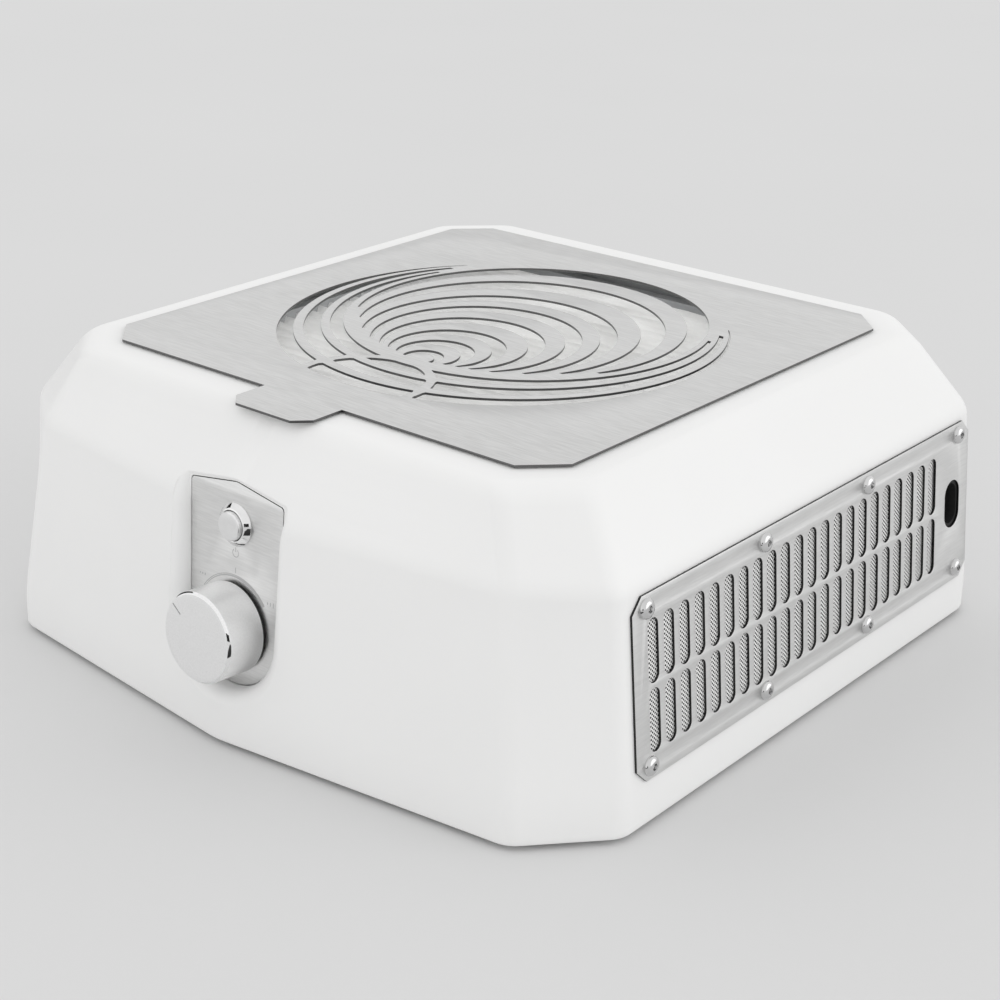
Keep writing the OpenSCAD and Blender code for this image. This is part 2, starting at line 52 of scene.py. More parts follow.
# Housing outlines: half width, front y at the corners, extra depth of the
# front ridge, back y, corner chamfer along x and along y
FOOT = (157.0, -151.0, 14.3, 155.0, 27.0, 30.0)
SHOULDER = (150.4, -141.0, 17.2, 145.0, 30.0, 21.0)
RIM = (129.0, -130.5, 0.0, 132.3, 22.5, 22.5)
BAND_H = 14.0
SHOULDER_H = 91.0
RIM_H = 121.0
WALL = 3.5

# Front: the ridge plane, the control recess and the heights of its controls
RIDGE_Y = -165.3
FRONT_TILT = math.radians(4.5)
FRONT_N = (0, -math.cos(FRONT_TILT), math.sin(FRONT_TILT))
RECESS = 8.5
CONTROL_T = 1.5
CONTROL_HALF = 24.0
CONTROL_LOW_R = 23.0
SHOULDER_S = 96.4
KNOB_S = 44.0
KNOB_R = 17.5
KNOB_TOP = 18.7
POINTER_ANGLE = 142
BUTTON_S = 83.8

# Right side: the sloping plane and the exhaust panel on it
SIDE_TILT = math.atan((FOOT[0] - SHOULDER[0]) / (SHOULDER_H - BAND_H))
SIDE_X = FOOT[0] + BAND_H * math.tan(SIDE_TILT)
SIDE_N = (math.cos(SIDE_TILT), 0, math.sin(SIDE_TILT))
PANEL_Y = (-114.5, 121.5)
PANEL_S = (18.3, 87.3)
PANEL_CHAMFER = 5.5
SLOT_W, SLOT_L = 6.1, 24.0
SLOTS = [(-103.1 + 9.25 * i, s) for i in range(22) for s in (39.6, 65.6)]
SCREWS = [(-106.8 + 73 * i, s) for i in range(4) for s in (23.6, 82.3)]
INLET_Y, INLET_S = 108.5, 53.1

# Cover plate and the height of its underside
COVER_HALF = 115.0
COVER_CHAMFER = 14.0
COVER_Z = RIM_H + FOOT_H + 0.5
TAB_HALF, TAB_L, TAB_CHAMFER = 20.0, 20.5, 6.0
SHEET_T = 1.0

# Cover cuts. The crescents share the centre line x = SWIRL_X; each is the half
# width and height of its tips, and the tops of its outer and inner arcs.
SWIRL_X = 1.6
TIP_W = 1.7
CRESCENTS = [(63.0, -20.0, 90.5, 78.4), (52.6, -30.0, 67.2, 53.8), (42.0, -39.7, 42.0, 33.0),
             (31.2, -46.5, 24.6, 16.0), (23.2, -49.4, 6.5, -2.0), (17.6, -50.6, -12.3, -19.5),
             (12.2, -51.9, -27.5, -34.5), (6.6, -53.8, -42.1, -46.6)]
# Each sweep is the centre y and radius of its inner arc, those of its outer
# arc, and the height of its tips. The arch crosses them all.
SWEEPS = [(15.2, 76.5, 11.4, 79.3, 41.6), (9.9, 82.0, 5.5, 86.0, 50.2),
          (3.8, 89.0, -1.0, 92.3, 58.5)]
ARCH_Y, ARCH_IN, ARCH_OUT = -85.2, 24.6, 28.2


def shifted():
    return Matrix.Scale(MM, 4) @ Matrix.Translation((-MID_X, -MID_Y, 0.0))


def axes_matrix(ax, ay, az, origin):
    m = Matrix.Identity(4)
    for column, axis in enumerate((ax, ay, az, origin)):
        for row in range(3):
            m[row][column] = axis[row]
    return m


# x right, y up the slope, z outwards
FRONT = shifted() @ axes_matrix(
    (1, 0, 0), (0, math.sin(FRONT_TILT), math.cos(FRONT_TILT)), FRONT_N, (0, RIDGE_Y, FOOT_H))
# x to the back, y up the slope, z outwards
SIDE = shifted() @ axes_matrix(
    (0, 1, 0), (-math.sin(SIDE_TILT), 0, math.cos(SIDE_TILT)), SIDE_N, (SIDE_X, 0, FOOT_H))
BODY = shifted() @ Matrix.Translation((0, 0, FOOT_H))


def on_control(s):
    """Frame on the bottom of the recess, at height s up the slope."""
    return FRONT @ Matrix.Translation((0, s, -RECESS))


# ---- mesh helpers -----------------------------------------------------------

def mesh_object(name, verts, faces, matrix, sharp=30.0):
    mesh = bpy.data.meshes.new(name)
    mesh.from_pydata([matrix @ Vector(v) for v in verts], [], faces)
    mesh.validate()
    return finish_mesh(name, mesh, sharp)


def finish_mesh(name, mesh, sharp=30.0):
    b = bmesh.new()
    b.from_mesh(mesh)
    bmesh.ops.recalc_face_normals(b, faces=b.faces[:])
    b.to_mesh(mesh)
    b.free()
    for p in mesh.polygons:
        p.use_smooth = True
    if sharp:
        mesh.set_sharp_from_angle(angle=math.radians(sharp))
    obj = bpy.data.objects.new(name, mesh)
    bpy.context.scene.collection.objects.link(obj)
    return obj


def cut(obj, tool):
    """Subtract the tool from the object, and delete the tool."""
    mod = obj.modifiers.new("cut", "BOOLEAN")
    mod.operation = "DIFFERENCE"
    mod.object = tool
    mod.solver = "EXACT"
    graph = bpy.context.evaluated_depsgraph_get()
    mesh = bpy.data.meshes.new_from_object(obj.evaluated_get(graph))
    obj.modifiers.clear()
    obj.data = mesh
    bpy.data.objects.remove(tool)


def lerp(a, b, t):
    return tuple(p + (q - p) * t for p, q in zip(a, b))


def row_at(z):
    """Housing outline at height z."""
    if z < BAND_H:
        return FOOT
    if z < SHOULDER_H:
        return lerp(FOOT, SHOULDER, (z - BAND_H) / (SHOULDER_H - BAND_H))
    return lerp(SHOULDER, RIM, (z - SHOULDER_H) / (RIM_H - SHOULDER_H))


def soft_row(z, r):
    """Outline at height z, averaged over r above and below to round the creases."""
    n = 12
    rows = [row_at(z - r + 2 * r * (i + 0.5) / n) for i in range(n)]
    return tuple(sum(row[k] for row in rows) / n for k in range(6))


def inset(row, d):
    return (row[0] - d, row[1] + d, row[2], row[3] - d, row[4], row[5])


def corners(row):
    w, front, ridge, back, cx, cy = row
    return [(0, front - ridge), (w - cx, front), (w, front + cy), (w, back - cy),
            (w - cx, back), (-w + cx, back), (-w, back - cy), (-w, front + cy),
            (-w + cx, front)]


def outline(row, d, steps):
    """Points round a row's corners, each rounded over the length d."""
    pts = [Vector(p) for p in corners(row)]
    out = []
    for i, here in enumerate(pts):
        prev, after = pts[i - 1], pts[(i + 1) % len(pts)]
        a = here + d * (prev - here).normalized()
        c = here + d * (after - here).normalized()
        for k in range(steps + 1):
            t = k / steps
            out.append((1 - t) ** 2 * a + 2 * t * (1 - t) * here + t * t * c)
    return out


def skin(rings):
    """Closed solid through rings of points, with flat ends."""
    n = len(rings[0])
    verts = [v for ring in rings for v in ring]
    faces = [list(range(n))[::-1], [len(verts) - n + j for j in range(n)]]
    for i in range(len(rings) - 1):
        for j in range(n):
            a, b = i * n + j, i * n + (j + 1) % n
            faces.append([a, b, b + n, a + n])
    return verts, faces


def loft(rings, heights):
    return skin([[(p[0], p[1], h) for p in ring] for ring, h in zip(rings, heights)])


def prism(loop, z0, z1, matrix):
    """Cutting tool with a straight side."""
    verts, faces = loft([loop, loop], [z0, z1])
    return mesh_object("tool", verts, faces, matrix, 0)


def arc(cx, cy, r, a0, a1, n):
    return [(cx + r * math.cos(math.radians(a0 + (a1 - a0) * i / n)),
             cy + r * math.sin(math.radians(a0 + (a1 - a0) * i / n))) for i in range(n + 1)]


def stadium(cx, cy, w, l, n=10):
    h = (l - w) / 2
    return arc(cx, cy + h, w / 2, 0, 180, n) + arc(cx, cy - h, w / 2, 180, 360, n)


def rectangle(x0, y0, x1, y1):
    return [(x0, y0), (x1, y0), (x1, y1), (x0, y1)]


# ---- housing ----------------------------------------------------------------

def body_mesh():
    """Outer form of the housing, from the small foot bevel to the rounded rim."""
    heights = [0.0, 0.4, 1.2]
    rings = [inset(FOOT, 1.0), inset(FOOT, 0.3), FOOT]
    stops = [3, 5] + [6 + i for i in range(0, 18, 2)] + [30, 42, 54, 66, 78, 84]
    stops += [86 + 0.5 * i for i in range(0, 21)] + [100, 105, 110]
    for z in stops:
        heights.append(float(z))
        rings.append(soft_row(z, 8 if z < 50 else 3.5))
    low = RIM_H - 6
    for i in range(11):
        t = i / 10
        a, b, c = row_at(low), RIM, inset(RIM, 5)
        rings.append(tuple((1 - t) ** 2 * p + 2 * t * (1 - t) * q + t * t * r
                           for p, q, r in zip(a, b, c)))
        heights.append((1 - t) ** 2 * low + (1 - (1 - t) ** 2) * RIM_H)
    return loft([outline(r, 4.5, 8) for r in rings], heights)


def surface_n(x, s):
    """Height of the housing's front over the ridge plane."""
    n = 0.0
    for _ in range(4):
        z = s * math.cos(FRONT_TILT) + n * math.sin(FRONT_TILT)
        row = soft_row(min(z, RIM_H), 5)
        y = row[1] - row[2] * (1 - abs(x) / (row[0] - row[4]))
        n = -(y - RIDGE_Y - s * math.sin(FRONT_TILT)) / math.cos(FRONT_TILT)
    return n


def control_outline(grow=0.0):
    """Peaked top with small rounded corners, over a half round foot."""
    pts = arc(0, KNOB_S, CONTROL_LOW_R + grow, 180, 360, 60)
    side = [(CONTROL_HALF, SHOULDER_S - 1.6), (CONTROL_HALF - 0.3, SHOULDER_S - 0.6),
            (CONTROL_HALF - 1.1, SHOULDER_S), (0.6, SHOULDER_S + 3.55)]
    side = [(x + grow, s + grow) for x, s in side]
    return pts + side + [(-x, s) for x, s in side[::-1]]


def along(a, b, n):
    """n points from a towards b, without b."""
    return [(a[0] + (b[0] - a[0]) * i / n, a[1] + (b[1] - a[1]) * i / n) for i in range(n)]


def recess_outline(grow):
    """Outline of the recess, a little larger than the control plate."""
    low, half = CONTROL_LOW_R + 0.3 + grow, CONTROL_HALF + 0.3 + grow
    shoulder, peak = SHOULDER_S + grow, SHOULDER_S + 3.8 + grow
    pts = arc(0, KNOB_S, low, 180, 360, 40)[:-1]
    pts += along((low, KNOB_S), (half, shoulder), 30)
    pts += along((half, shoulder), (0, peak), 12)
    pts += along((0, peak), (-half, shoulder), 12)
    pts += along((-half, shoulder), (-low, KNOB_S), 30)
    return pts


def recess_cutter():
    """Straight pocket with a lip rounded into the sloping front."""
    steps = 10
    lip = 6.0
    base, wide = recess_outline(0), recess_outline(lip)
    rings = [[(p[0], p[1], -RECESS - 0.02) for p in base]]
    lips = []
    for p, w in zip(base, wide):
        depth = surface_n(p[0], p[1]) + RECESS
        r = max(0.3, min(lip, depth * 0.95))
        q = (p[0] + (w[0] - p[0]) * r / lip, p[1] + (w[1] - p[1]) * r / lip)
        lips.append((r, q, surface_n(q[0], q[1])))
    for k in range(steps + 1):
        a = math.pi / 2 * k / steps
        ring = []
        for p, (r, q, top) in zip(base, lips):
            t = 1 - math.cos(a)
            z = max(-RECESS + 0.001 * k, top - r + r * math.sin(a))
            ring.append((p[0] + (q[0] - p[0]) * t, p[1] + (q[1] - p[1]) * t, z))
        rings.append(ring)
    rings.append([(p[0], p[1], 30.0) for p in rings[-1]])
    verts, faces = skin(rings)
    return mesh_object("tool", verts, faces, FRONT, 0)


def build_housing():
    verts, faces = body_mesh()
    body = mesh_object("housing_body", verts, faces, BODY, 0)
    top = RIM_H - WALL
    rows = [inset(FOOT, WALL), inset(FOOT, WALL), inset(SHOULDER, WALL + 0.6),
            inset(row_at(top), WALL + 0.8)]
    verts, faces = loft([outline(row, 7, 3) for row in rows], [-1, BAND_H, SHOULDER_H, top])
    inner = mesh_object("inner", verts, faces, BODY, 0)
    # The wall behind the recess stays
    cut(inner, prism(recess_outline(4), -RECESS - 5.0, 30, FRONT))
    cut(body, inner)
    # Filter opening, recess, pocket of the control plate, exhaust window, inlet
    cut(body, prism(rectangle(-104, -104, 104, 104), 110, 130, BODY))
    cut(body, recess_cutter())
    cut(body, prism(control_outline(0.35), -RECESS - CONTROL_T - 0.1, -RECESS + 0.1, FRONT))
    cut(body, prism(rectangle(-109.1, 25.6, 97.1, 79.6), -12, 8, SIDE))
    cut(body, prism(stadium(INLET_Y, INLET_S, 16.4, 24.8), -12, 12, SIDE))
    mesh = body.data
    bpy.data.objects.remove(body)
    obj = finish_mesh("housing_body", mesh, 32)
    normals = obj.modifiers.new("normals", "WEIGHTED_NORMAL")
    normals.keep_sharp = True
    return obj


# ---- sheets cut from flat stock ---------------------------------------------

def flat_sheet(name, loops, thickness, matrix, z0=0.0, edge=0.1):
    """Plate with its underside at z0; the first loop is the outside, the rest are cuts."""
    curve = bpy.data.curves.new(name, "CURVE")
    curve.dimensions = "2D"
    curve.fill_mode = "BOTH"
    curve.extrude = thickness / 2 - edge
    curve.bevel_depth = edge
    curve.bevel_resolution = 1
    curve.offset = -edge
    for loop in loops:
        spline = curve.splines.new("POLY")
        spline.points.add(len(loop) - 1)
        for point, p in zip(spline.points, loop):
            point.co = (p[0], p[1], 0, 1)
        spline.use_cyclic_u = True
    obj = bpy.data.objects.new(name, curve)
    bpy.context.scene.collection.objects.link(obj)
    graph = bpy.context.evaluated_depsgraph_get()
    mesh = bpy.data.meshes.new_from_object(obj.evaluated_get(graph))
    bpy.data.objects.remove(obj)
    mesh.transform(matrix @ Matrix.Translation((0, 0, z0 + thickness / 2)))
    b = bmesh.new()
    b.from_mesh(mesh)
    bmesh.ops.remove_doubles(b, verts=b.verts[:], dist=1e-7)
    b.to_mesh(mesh)
    b.free()
    return finish_mesh(name, mesh, 30)


def over_arc(half, tip_y, top, n):
    """Points from the right tip over the top to the left tip."""
    rise = top - tip_y
    r = (half * half + rise * rise) / (2 * rise)
    cy = top - r
    a = math.degrees(math.atan2(tip_y - cy, half))
    return arc(SWIRL_X, cy, r, a, 180 - a, n)


def crescent_loop(crescent):
    half, tip_y, outer_top, inner_top = crescent
    outer = over_arc(half + TIP_W / 2, tip_y, outer_top, 120)
    inner = over_arc(half - TIP_W / 2, tip_y, inner_top, 120)
    return outer + inner[::-1]


def under_arc(cy, r, end_y, n):
    """Points from the left tip round the bottom to the right tip."""
    a = math.degrees(math.asin((end_y - cy) / r))
    return arc(SWIRL_X, cy, r, 180 - a, 360 + a, n)


def arch_cap(p, q, r):
    """Points along the arch between two slot edges."""
    a, b = [math.atan2(v[1] - ARCH_Y, v[0] - SWIRL_X) for v in (p, q)]
    if abs(b - a) > math.pi:
        a += math.copysign(2 * math.pi, b - a)
    turns = [a + (b - a) * k / 6 for k in range(1, 6)]
    return [(SWIRL_X + r * math.cos(t), ARCH_Y + r * math.sin(t)) for t in turns]


def sweep_loops(sweep):
    """The slot left of the arch, the one under it and the one right of it."""
    in_y, in_r, out_y, out_r, tip_y = sweep
    outer = under_arc(out_y, out_r, tip_y, 400)
    inner = under_arc(in_y, in_r, tip_y, 400)

    def reach(p):
        return math.hypot(p[0] - SWIRL_X, p[1] - ARCH_Y)

    loops = []
    for side in (-1, 0, 1):
        if side:
            keep = [[p for p in line if reach(p) > ARCH_OUT and (p[0] - SWIRL_X) * side > 0]
                    for line in (outer, inner)]
        else:
            keep = [[p for p in line if reach(p) < ARCH_IN] for line in (outer, inner)]
        if min(len(keep[0]), len(keep[1])) > 3:
            r = ARCH_OUT if side else ARCH_IN
            lead = [] if side == 1 else arch_cap(keep[0][-1], keep[1][-1], r)
            tail = [] if side == -1 else arch_cap(keep[1][0], keep[0][0], r)
            loops.append(keep[0] + lead + keep[1][::-1] + tail)
    return loops


def cover_outline():
    h, c, t, l, k = COVER_HALF, COVER_CHAMFER, TAB_HALF, TAB_L, TAB_CHAMFER
    return [(-h + c, -h), (-t, -h), (-t, -h - l + k), (-t + k, -h - l), (t - k, -h - l),
            (t, -h - l + k), (t, -h), (h - c, -h), (h, -h + c), (h, h - c), (h - c, h),
            (-h + c, h), (-h, h - c), (-h, -h + c)]


def build_cover():
    loops = [cover_outline()] + [crescent_loop(crescent) for crescent in CRESCENTS]
    for sweep in SWEEPS:
        loops += sweep_loops(sweep)
    return flat_sheet("cover_sheet", loops, SHEET_T, shifted(), COVER_Z, 0.06)


def panel_outline():
    (y0, y1), (s0, s1), c = PANEL_Y, PANEL_S, PANEL_CHAMFER
    return [(y0 + c, s0), (y1 - c, s0), (y1, s0 + c), (y1, s1 - c), (y1 - c, s1), (y0 + c, s1),
            (y0, s1 - c), (y0, s0 + c)]


def build_panel():
    loops = [panel_outline()]
    loops += [stadium(y, s, SLOT_W, SLOT_L) for y, s in SLOTS]
    loops += [arc(y, s, 2.1, 0, 350, 35) for y, s in SCREWS]
    loops.append(stadium(INLET_Y, INLET_S, 12.2, 20.6, 16))
    return flat_sheet("exhaust_sheet", loops, SHEET_T, SIDE)


def build_control():
    loops = [control_outline(), arc(0, BUTTON_S, 6.1, 0, 354, 59), arc(0, KNOB_S, 3.7, 0, 354, 59)]
    return flat_sheet("control_sheet", loops, CONTROL_T, FRONT, -RECESS - CONTROL_T)


def build_perforated():
    """Staggered round holes where the slots show the sheet, plain between them."""
    half, hole = 0.85, 0.44
    left, low, width, height = -108.6, 26.1, 203, 51.4
    columns, rows = int(width / half), int(height / half)
    reach_y, reach_s = SLOT_W / 2 + 1.15, SLOT_L / 2 + 1.2
    verts, faces = [], []
    known = {}

    def node(i, j):
        if (i, j) not in known:
            known[(i, j)] = len(verts)
            verts.append((left + i * half, low + j * half, 0.0))
        return known[(i, j)]

    for i in range(1, columns):
        for j in range(1, rows):
            if (i + j) % 2:
                continue
            x, y = left + i * half, low + j * half
            ring = [node(i + 1, j), node(i, j + 1), node(i - 1, j), node(i, j - 1)]
            seen = any(abs(x - sx) < reach_y and abs(y - sy) < reach_s for sx, sy in SLOTS)
            if not seen:
                faces.append(ring)
                continue
            start = len(verts)
            for k in range(8):
                a = math.radians(45 * k)
                verts.append((x + hole * math.cos(a), y + hole * math.sin(a), 0.0))
            for q in range(4):
                a = start + 2 * q
                faces.append([ring[q], ring[(q + 1) % 4], start + (2 * q + 2) % 8, a + 1, a])
    just_under = SIDE @ Matrix.Translation((0, 0, -0.05))
    return mesh_object("perforated_sheet", verts, faces, just_under, 30)


# ---- turned pieces ----------------------------------------------------------

def lathe(name, profile, matrix, segments=96, sharp=30.0, radius=None):
    """Turn a profile of (r, z); radius, where given, changes r with the angle."""
    verts, faces = [], []
    for r, z in profile:
        for k in range(segments):
            a = 2 * math.pi * k / segments
            q = radius(r, a) if radius else r
            verts.append((q * math.cos(a), q * math.sin(a), z))
    for i in range(len(profile) - 1):
        for k in range(segments):
            a, b = i * segments + k, i * segments + (k + 1) % segments
            faces.append([a, b, b + segments, a + segments])
    for start in (0, len(profile) - 1):
        if profile[start][0] > 0.02:
            faces.append([start * segments + k for k in range(segments)])
    mesh = bpy.data.meshes.new(name)
    mesh.from_pydata([matrix @ Vector(v) for v in verts], [], faces)
    b = bmesh.new()
    b.from_mesh(mesh)
    bmesh.ops.remove_doubles(b, verts=b.verts[:], dist=1e-8)
    b.to_mesh(mesh)
    b.free()
    return finish_mesh(name, mesh, sharp)


def hex_where_negative(r, a):
    """A negative r is half the width across flats of a hexagon."""
    if r >= 0:
        return r
    step = math.radians(60)
    return -r * math.cos(step / 2) / math.cos((a % step) - step / 2)


def build_screws():
    profile = [(1.6, -6), (1.6, 0), (3.75, 0), (3.8, 0.15), (3.74, 0.7), (3.5, 1.2), (3.1, 1.62),
               (2.55, 1.95), (2.0, 2.15), (1.75, 2.2), (-1.45, 2.1), (-1.45, 0.9), (0.01, 0.5)]
    objs = []
    for i, (y, s) in enumerate(SCREWS):
        turn = Matrix.Rotation(math.radians(17 * i), 4, "Z")
        place = SIDE @ Matrix.Translation((y, s, SHEET_T)) @ turn
        objs.append(lathe("panel_screw_%d" % i, profile, place, 48, 30, hex_where_negative))
    return objs


def build_knob():
    r, h = KNOB_R, KNOB_TOP
    profile = [(6.6, 1.7), (r - 1.3, 1.7), (r - 0.3, 1.72), (r - 0.08, 1.8), (r, 1.95), (r, 6),
               (r, 12), (r, h - 0.98), (r - 0.07, h - 0.86), (r - 0.84, h - 0.1),
               (r - 0.94, h - 0.03), (r - 1.1, h), (r - 3, h), (8, h), (0.01, h)]
    return lathe("knob_turned", profile, on_control(KNOB_S), 192, 20)


def build_collar():
    profile = [(6.6, 0.15), (16.7, 0.15), (16.8, 0.25), (16.8, 1.72), (6.6, 1.72)]
    return lathe("knob_collar", profile, on_control(KNOB_S), 128, 30)


def build_pointer():
    place = on_control(KNOB_S) @ Matrix.Rotation(math.radians(POINTER_ANGLE), 4, "Z")
    line = rectangle(11.0, -0.25, 16.2, 0.25)
    return flat_sheet("knob_pointer", [line], 0.03, place, KNOB_TOP - 0.01, 0.004)


def build_bezel():
    profile = [(6.0, -13.9), (6.0, 0), (8.2, 0), (8.3, 0.12), (8.3, 0.5), (8.2, 0.68), (6.6, 2.2),
               (6.35, 2.42), (6.1, 2.5), (5.9, 2.45), (5.8, 2.3), (5.75, 1.8), (5.75, -2.5)]
    return lathe("bezel_ring", profile, on_control(BUTTON_S), 128, 30)


def build_cap():
    profile = [(4.1, -10), (4.1, -0.4), (5.6, -0.4), (5.65, -0.3), (5.55, 3.45), (5.47, 3.75),
               (5.2, 4.03), (4.95, 4.1), (3, 4.12), (0.01, 4.12)]
    return lathe("cap_turned", profile, on_control(BUTTON_S), 128, 30)


# ---- filter -----------------------------------------------------------------

def build_pleats():
    """Folded media: a zigzag with rounded folds, slightly wavy along each fold."""
    half, count = 94.9, 28
    pitch = 2 * half / count
    low, high = 93.0, 115.6
    line = []
    for i in range(count + 1):
        y = -half + i * pitch
        line += [(y - 0.55, low + 0.9), (y - 0.2, low + 0.15), (y + 0.2, low + 0.15),
                 (y + 0.55, low + 0.9)]
        if i < count:
            mid = y + pitch / 2
            line += [(mid - 0.62, high - 1.2), (mid - 0.35, high - 0.35), (mid, high),
                     (mid + 0.35, high - 0.35), (mid + 0.62, high - 1.2)]
    line = [(max(-half, min(half, y)), z) for y, z in line]
    spans = 40
    verts, faces = [], []
    for i in range(spans + 1):
        x = -half + 2 * half * i / spans
        for k, (y, z) in enumerate(line):
            wobble = 0.22 * math.sin(i * 1.7 + k * 0.61) + 0.15 * math.sin(i * 0.53 + k * 1.9)
            verts.append((x, max(-half, min(half, y + wobble)), z + 0.12 * math.sin(i * 0.9 + k)))
    n = len(line)
    for i in range(spans):
        for k in range(n - 1):
            a = i * n + k
            faces.append([a, a + 1, a + n + 1, a + n])
    obj = mesh_object("pleated_media", verts, faces, shifted(), 60)
    solid = obj.modifiers.new("thickness", "SOLIDIFY")
    solid.thickness = 0.0005
    solid.offset = 0
    return obj


# ---- engraved marks on the control plate -------------------------------------

MARK_T = 0.02


def ring_mark(name, cx, cy, r, w, a0, a1, taper=None):
    """Arc of width w, or of a width that goes from taper[0] to taper[1]."""
    n = 60
    outer, inner = [], []
    for i in range(n + 1):
        a = math.radians(a0 + (a1 - a0) * i / n)
        half = w / 2 if taper is None else (taper[0] + (taper[1] - taper[0]) * i / n) / 2
        outer.append((cx + (r + half) * math.cos(a), cy + (r + half) * math.sin(a)))
        inner.append((cx + (r - half) * math.cos(a), cy + (r - half) * math.sin(a)))
    return flat_sheet(name, [outer + inner[::-1]], MARK_T, FRONT, -RECESS, 0.004)


def bar_mark(name, x, y, w, l):
    loop = rectangle(x - w / 2, y - l / 2, x + w / 2, y + l / 2)
    return flat_sheet(name, [loop], MARK_T, FRONT, -RECESS, 0.004)


def build_marks():
    marks = [ring_mark("mark_power_ring", 0, 72.6, 1.55, 0.35, 125, 415),
             bar_mark("mark_power_bar", 0, 73.9, 0.35, 1.8),
             bar_mark("mark_middle", 0.2, 65.8, 0.35, 2.2),
             ring_mark("mark_scale", 0, KNOB_S, 19.9, 0.3, 146, 38),
             ring_mark("mark_scale_band", 0, KNOB_S, 19.3, 0.3, 146, 38, (0.1, 1.3))]
    for i in range(3):
        marks.append(bar_mark("mark_low_%d" % i, -18.6 + 1.3 * i, 59.6, 0.45, 0.45 + 0.25 * i))
        marks.append(bar_mark("mark_high_%d" % i, 17.2 + 1.5 * i, 58.0, 0.55, 1.0 + 0.45 * i))
    return marks


# ---- materials --------------------------------------------------------------

class Shader:
    """A material's node tree, with the Principled BSDF it starts from."""

    def __init__(self, name):
        self.material = bpy.data.materials.new(name)
        self.material.use_nodes = True
        self.tree = self.material.node_tree
        self.nodes = self.tree.nodes
        self.bsdf = self.nodes["Principled BSDF"]
        self.coords = self.add("ShaderNodeTexCoord")

    def add(self, kind, **values):
        node = self.nodes.new(kind)
        for key, value in values.items():
            setattr(node, key, value)
        return node

    def link(self, a, b):
        self.tree.links.new(a, b)

    def noise(self, scale, stretch=(1, 1, 1), detail=4.0):
        mapping = self.add("ShaderNodeMapping")
        mapping.inputs["Scale"].default_value = stretch
        self.link(self.coords.outputs["Object"], mapping.inputs["Vector"])
        tex = self.add("ShaderNodeTexNoise")
        tex.inputs["Scale"].default_value = scale
        tex.inputs["Detail"].default_value = detail
        self.link(mapping.outputs["Vector"], tex.inputs["Vector"])
        return tex.outputs["Fac"]

    def ramp(self, value, low, high, a, b):
        node = self.add("ShaderNodeMapRange")
        node.inputs["From Min"].default_value = low
        node.inputs["From Max"].default_value = high
        node.inputs["To Min"].default_value = a
        node.inputs["To Max"].default_value = b
        self.link(value, node.inputs["Value"])
        return node.outputs["Result"]

    def colours(self, value, low, high, ca, cb):
        node = self.add("ShaderNodeValToRGB")
        node.color_ramp.elements[0].position = low
        node.color_ramp.elements[0].color = (*ca, 1)
        node.color_ramp.elements[1].position = high
        node.color_ramp.elements[1].color = (*cb, 1)
        self.link(value, node.inputs["Fac"])
        return node.outputs["Color"]

    def mixed(self, factor, plain, textured):
        """From a plain colour at factor 0 to a textured one at 1."""
        node = self.add("ShaderNodeMix", data_type="RGBA")
        self.link(factor, node.inputs["Factor"])
        first, second = [s for s in node.inputs if s.type == "RGBA"]
        first.default_value = (*plain, 1)
        self.link(textured, second)
        return [s for s in node.outputs if s.type == "RGBA"][0]

    def facing(self, axis, offset=0.0):
        """How far the cosine between the surface's normal and the axis is from offset."""
        dot = self.add("ShaderNodeVectorMath", operation="DOT_PRODUCT")
        dot.inputs[1].default_value = axis
        self.link(self.coords.outputs["Normal"], dot.inputs[0])
        away = self.add("ShaderNodeMath", operation="SUBTRACT")
        away.inputs[1].default_value = offset
        self.link(dot.outputs["Value"], away.inputs[0])
        size = self.add("ShaderNodeMath", operation="ABSOLUTE")
        self.link(away.outputs[0], size.inputs[0])
        return size.outputs[0]

    def bump(self, value, strength, distance):
        node = self.add("ShaderNodeBump")
        node.inputs["Strength"].default_value = strength
        node.inputs["Distance"].default_value = distance
        self.link(value, node.inputs["Height"])
        self.link(node.outputs["Normal"], self.bsdf.inputs["Normal"])

    def set(self, **values):
        for key, value in values.items():
            self.bsdf.inputs[key.replace("_", " ")].default_value = value


def plastic(name, dark, light, rough, grain=900.0, bump=0.08, metallic=0.0):
    s = Shader(name)
    broad = s.noise(9.0, detail=3.0)
    fine = s.noise(grain, detail=3.0)
    s.link(s.colours(broad, 0.35, 0.65, dark, light), s.bsdf.inputs["Base Color"])
    s.link(s.ramp(fine, 0.3, 0.7, rough - 0.05, rough + 0.07), s.bsdf.inputs["Roughness"])
    s.bump(fine, bump, 0.00006)
    s.set(Metallic=metallic)
    return s.material


def brushed(name, dark, light, stretch, rough, face_axis, edge=(0.05, 0.05, 0.05)):
    """Brushed faces square to face_axis, and cut edges in the dark edge colour, painted shade on
    the walls of the sheet and its cuts.
    """
    s = Shader(name)
    fine = s.noise(1500.0, stretch, detail=5.0)
    broad = s.noise(60.0, stretch, detail=3.0)
    streaks = s.add("ShaderNodeMath", operation="ADD")
    s.link(s.ramp(fine, 0.34, 0.66, 0.0, 0.75), streaks.inputs[0])
    s.link(s.ramp(broad, 0.30, 0.70, 0.0, 0.25), streaks.inputs[1])
    base = s.colours(streaks.outputs[0], 0.1, 0.9, dark, light)
    # Away from face_axis the edge colour replaces the brushed colour: painted shade on the cut
    # walls.
    flat = s.ramp(s.facing(face_axis), 0.45, 0.8, 0.0, 1.0)
    s.link(s.mixed(flat, edge, base), s.bsdf.inputs["Base Color"])
    s.link(s.ramp(fine, 0.2, 0.8, rough - 0.07, rough + 0.09), s.bsdf.inputs["Roughness"])
    s.bump(fine, 0.10, 0.00003)
    s.set(Metallic=1.0)
    return s.material


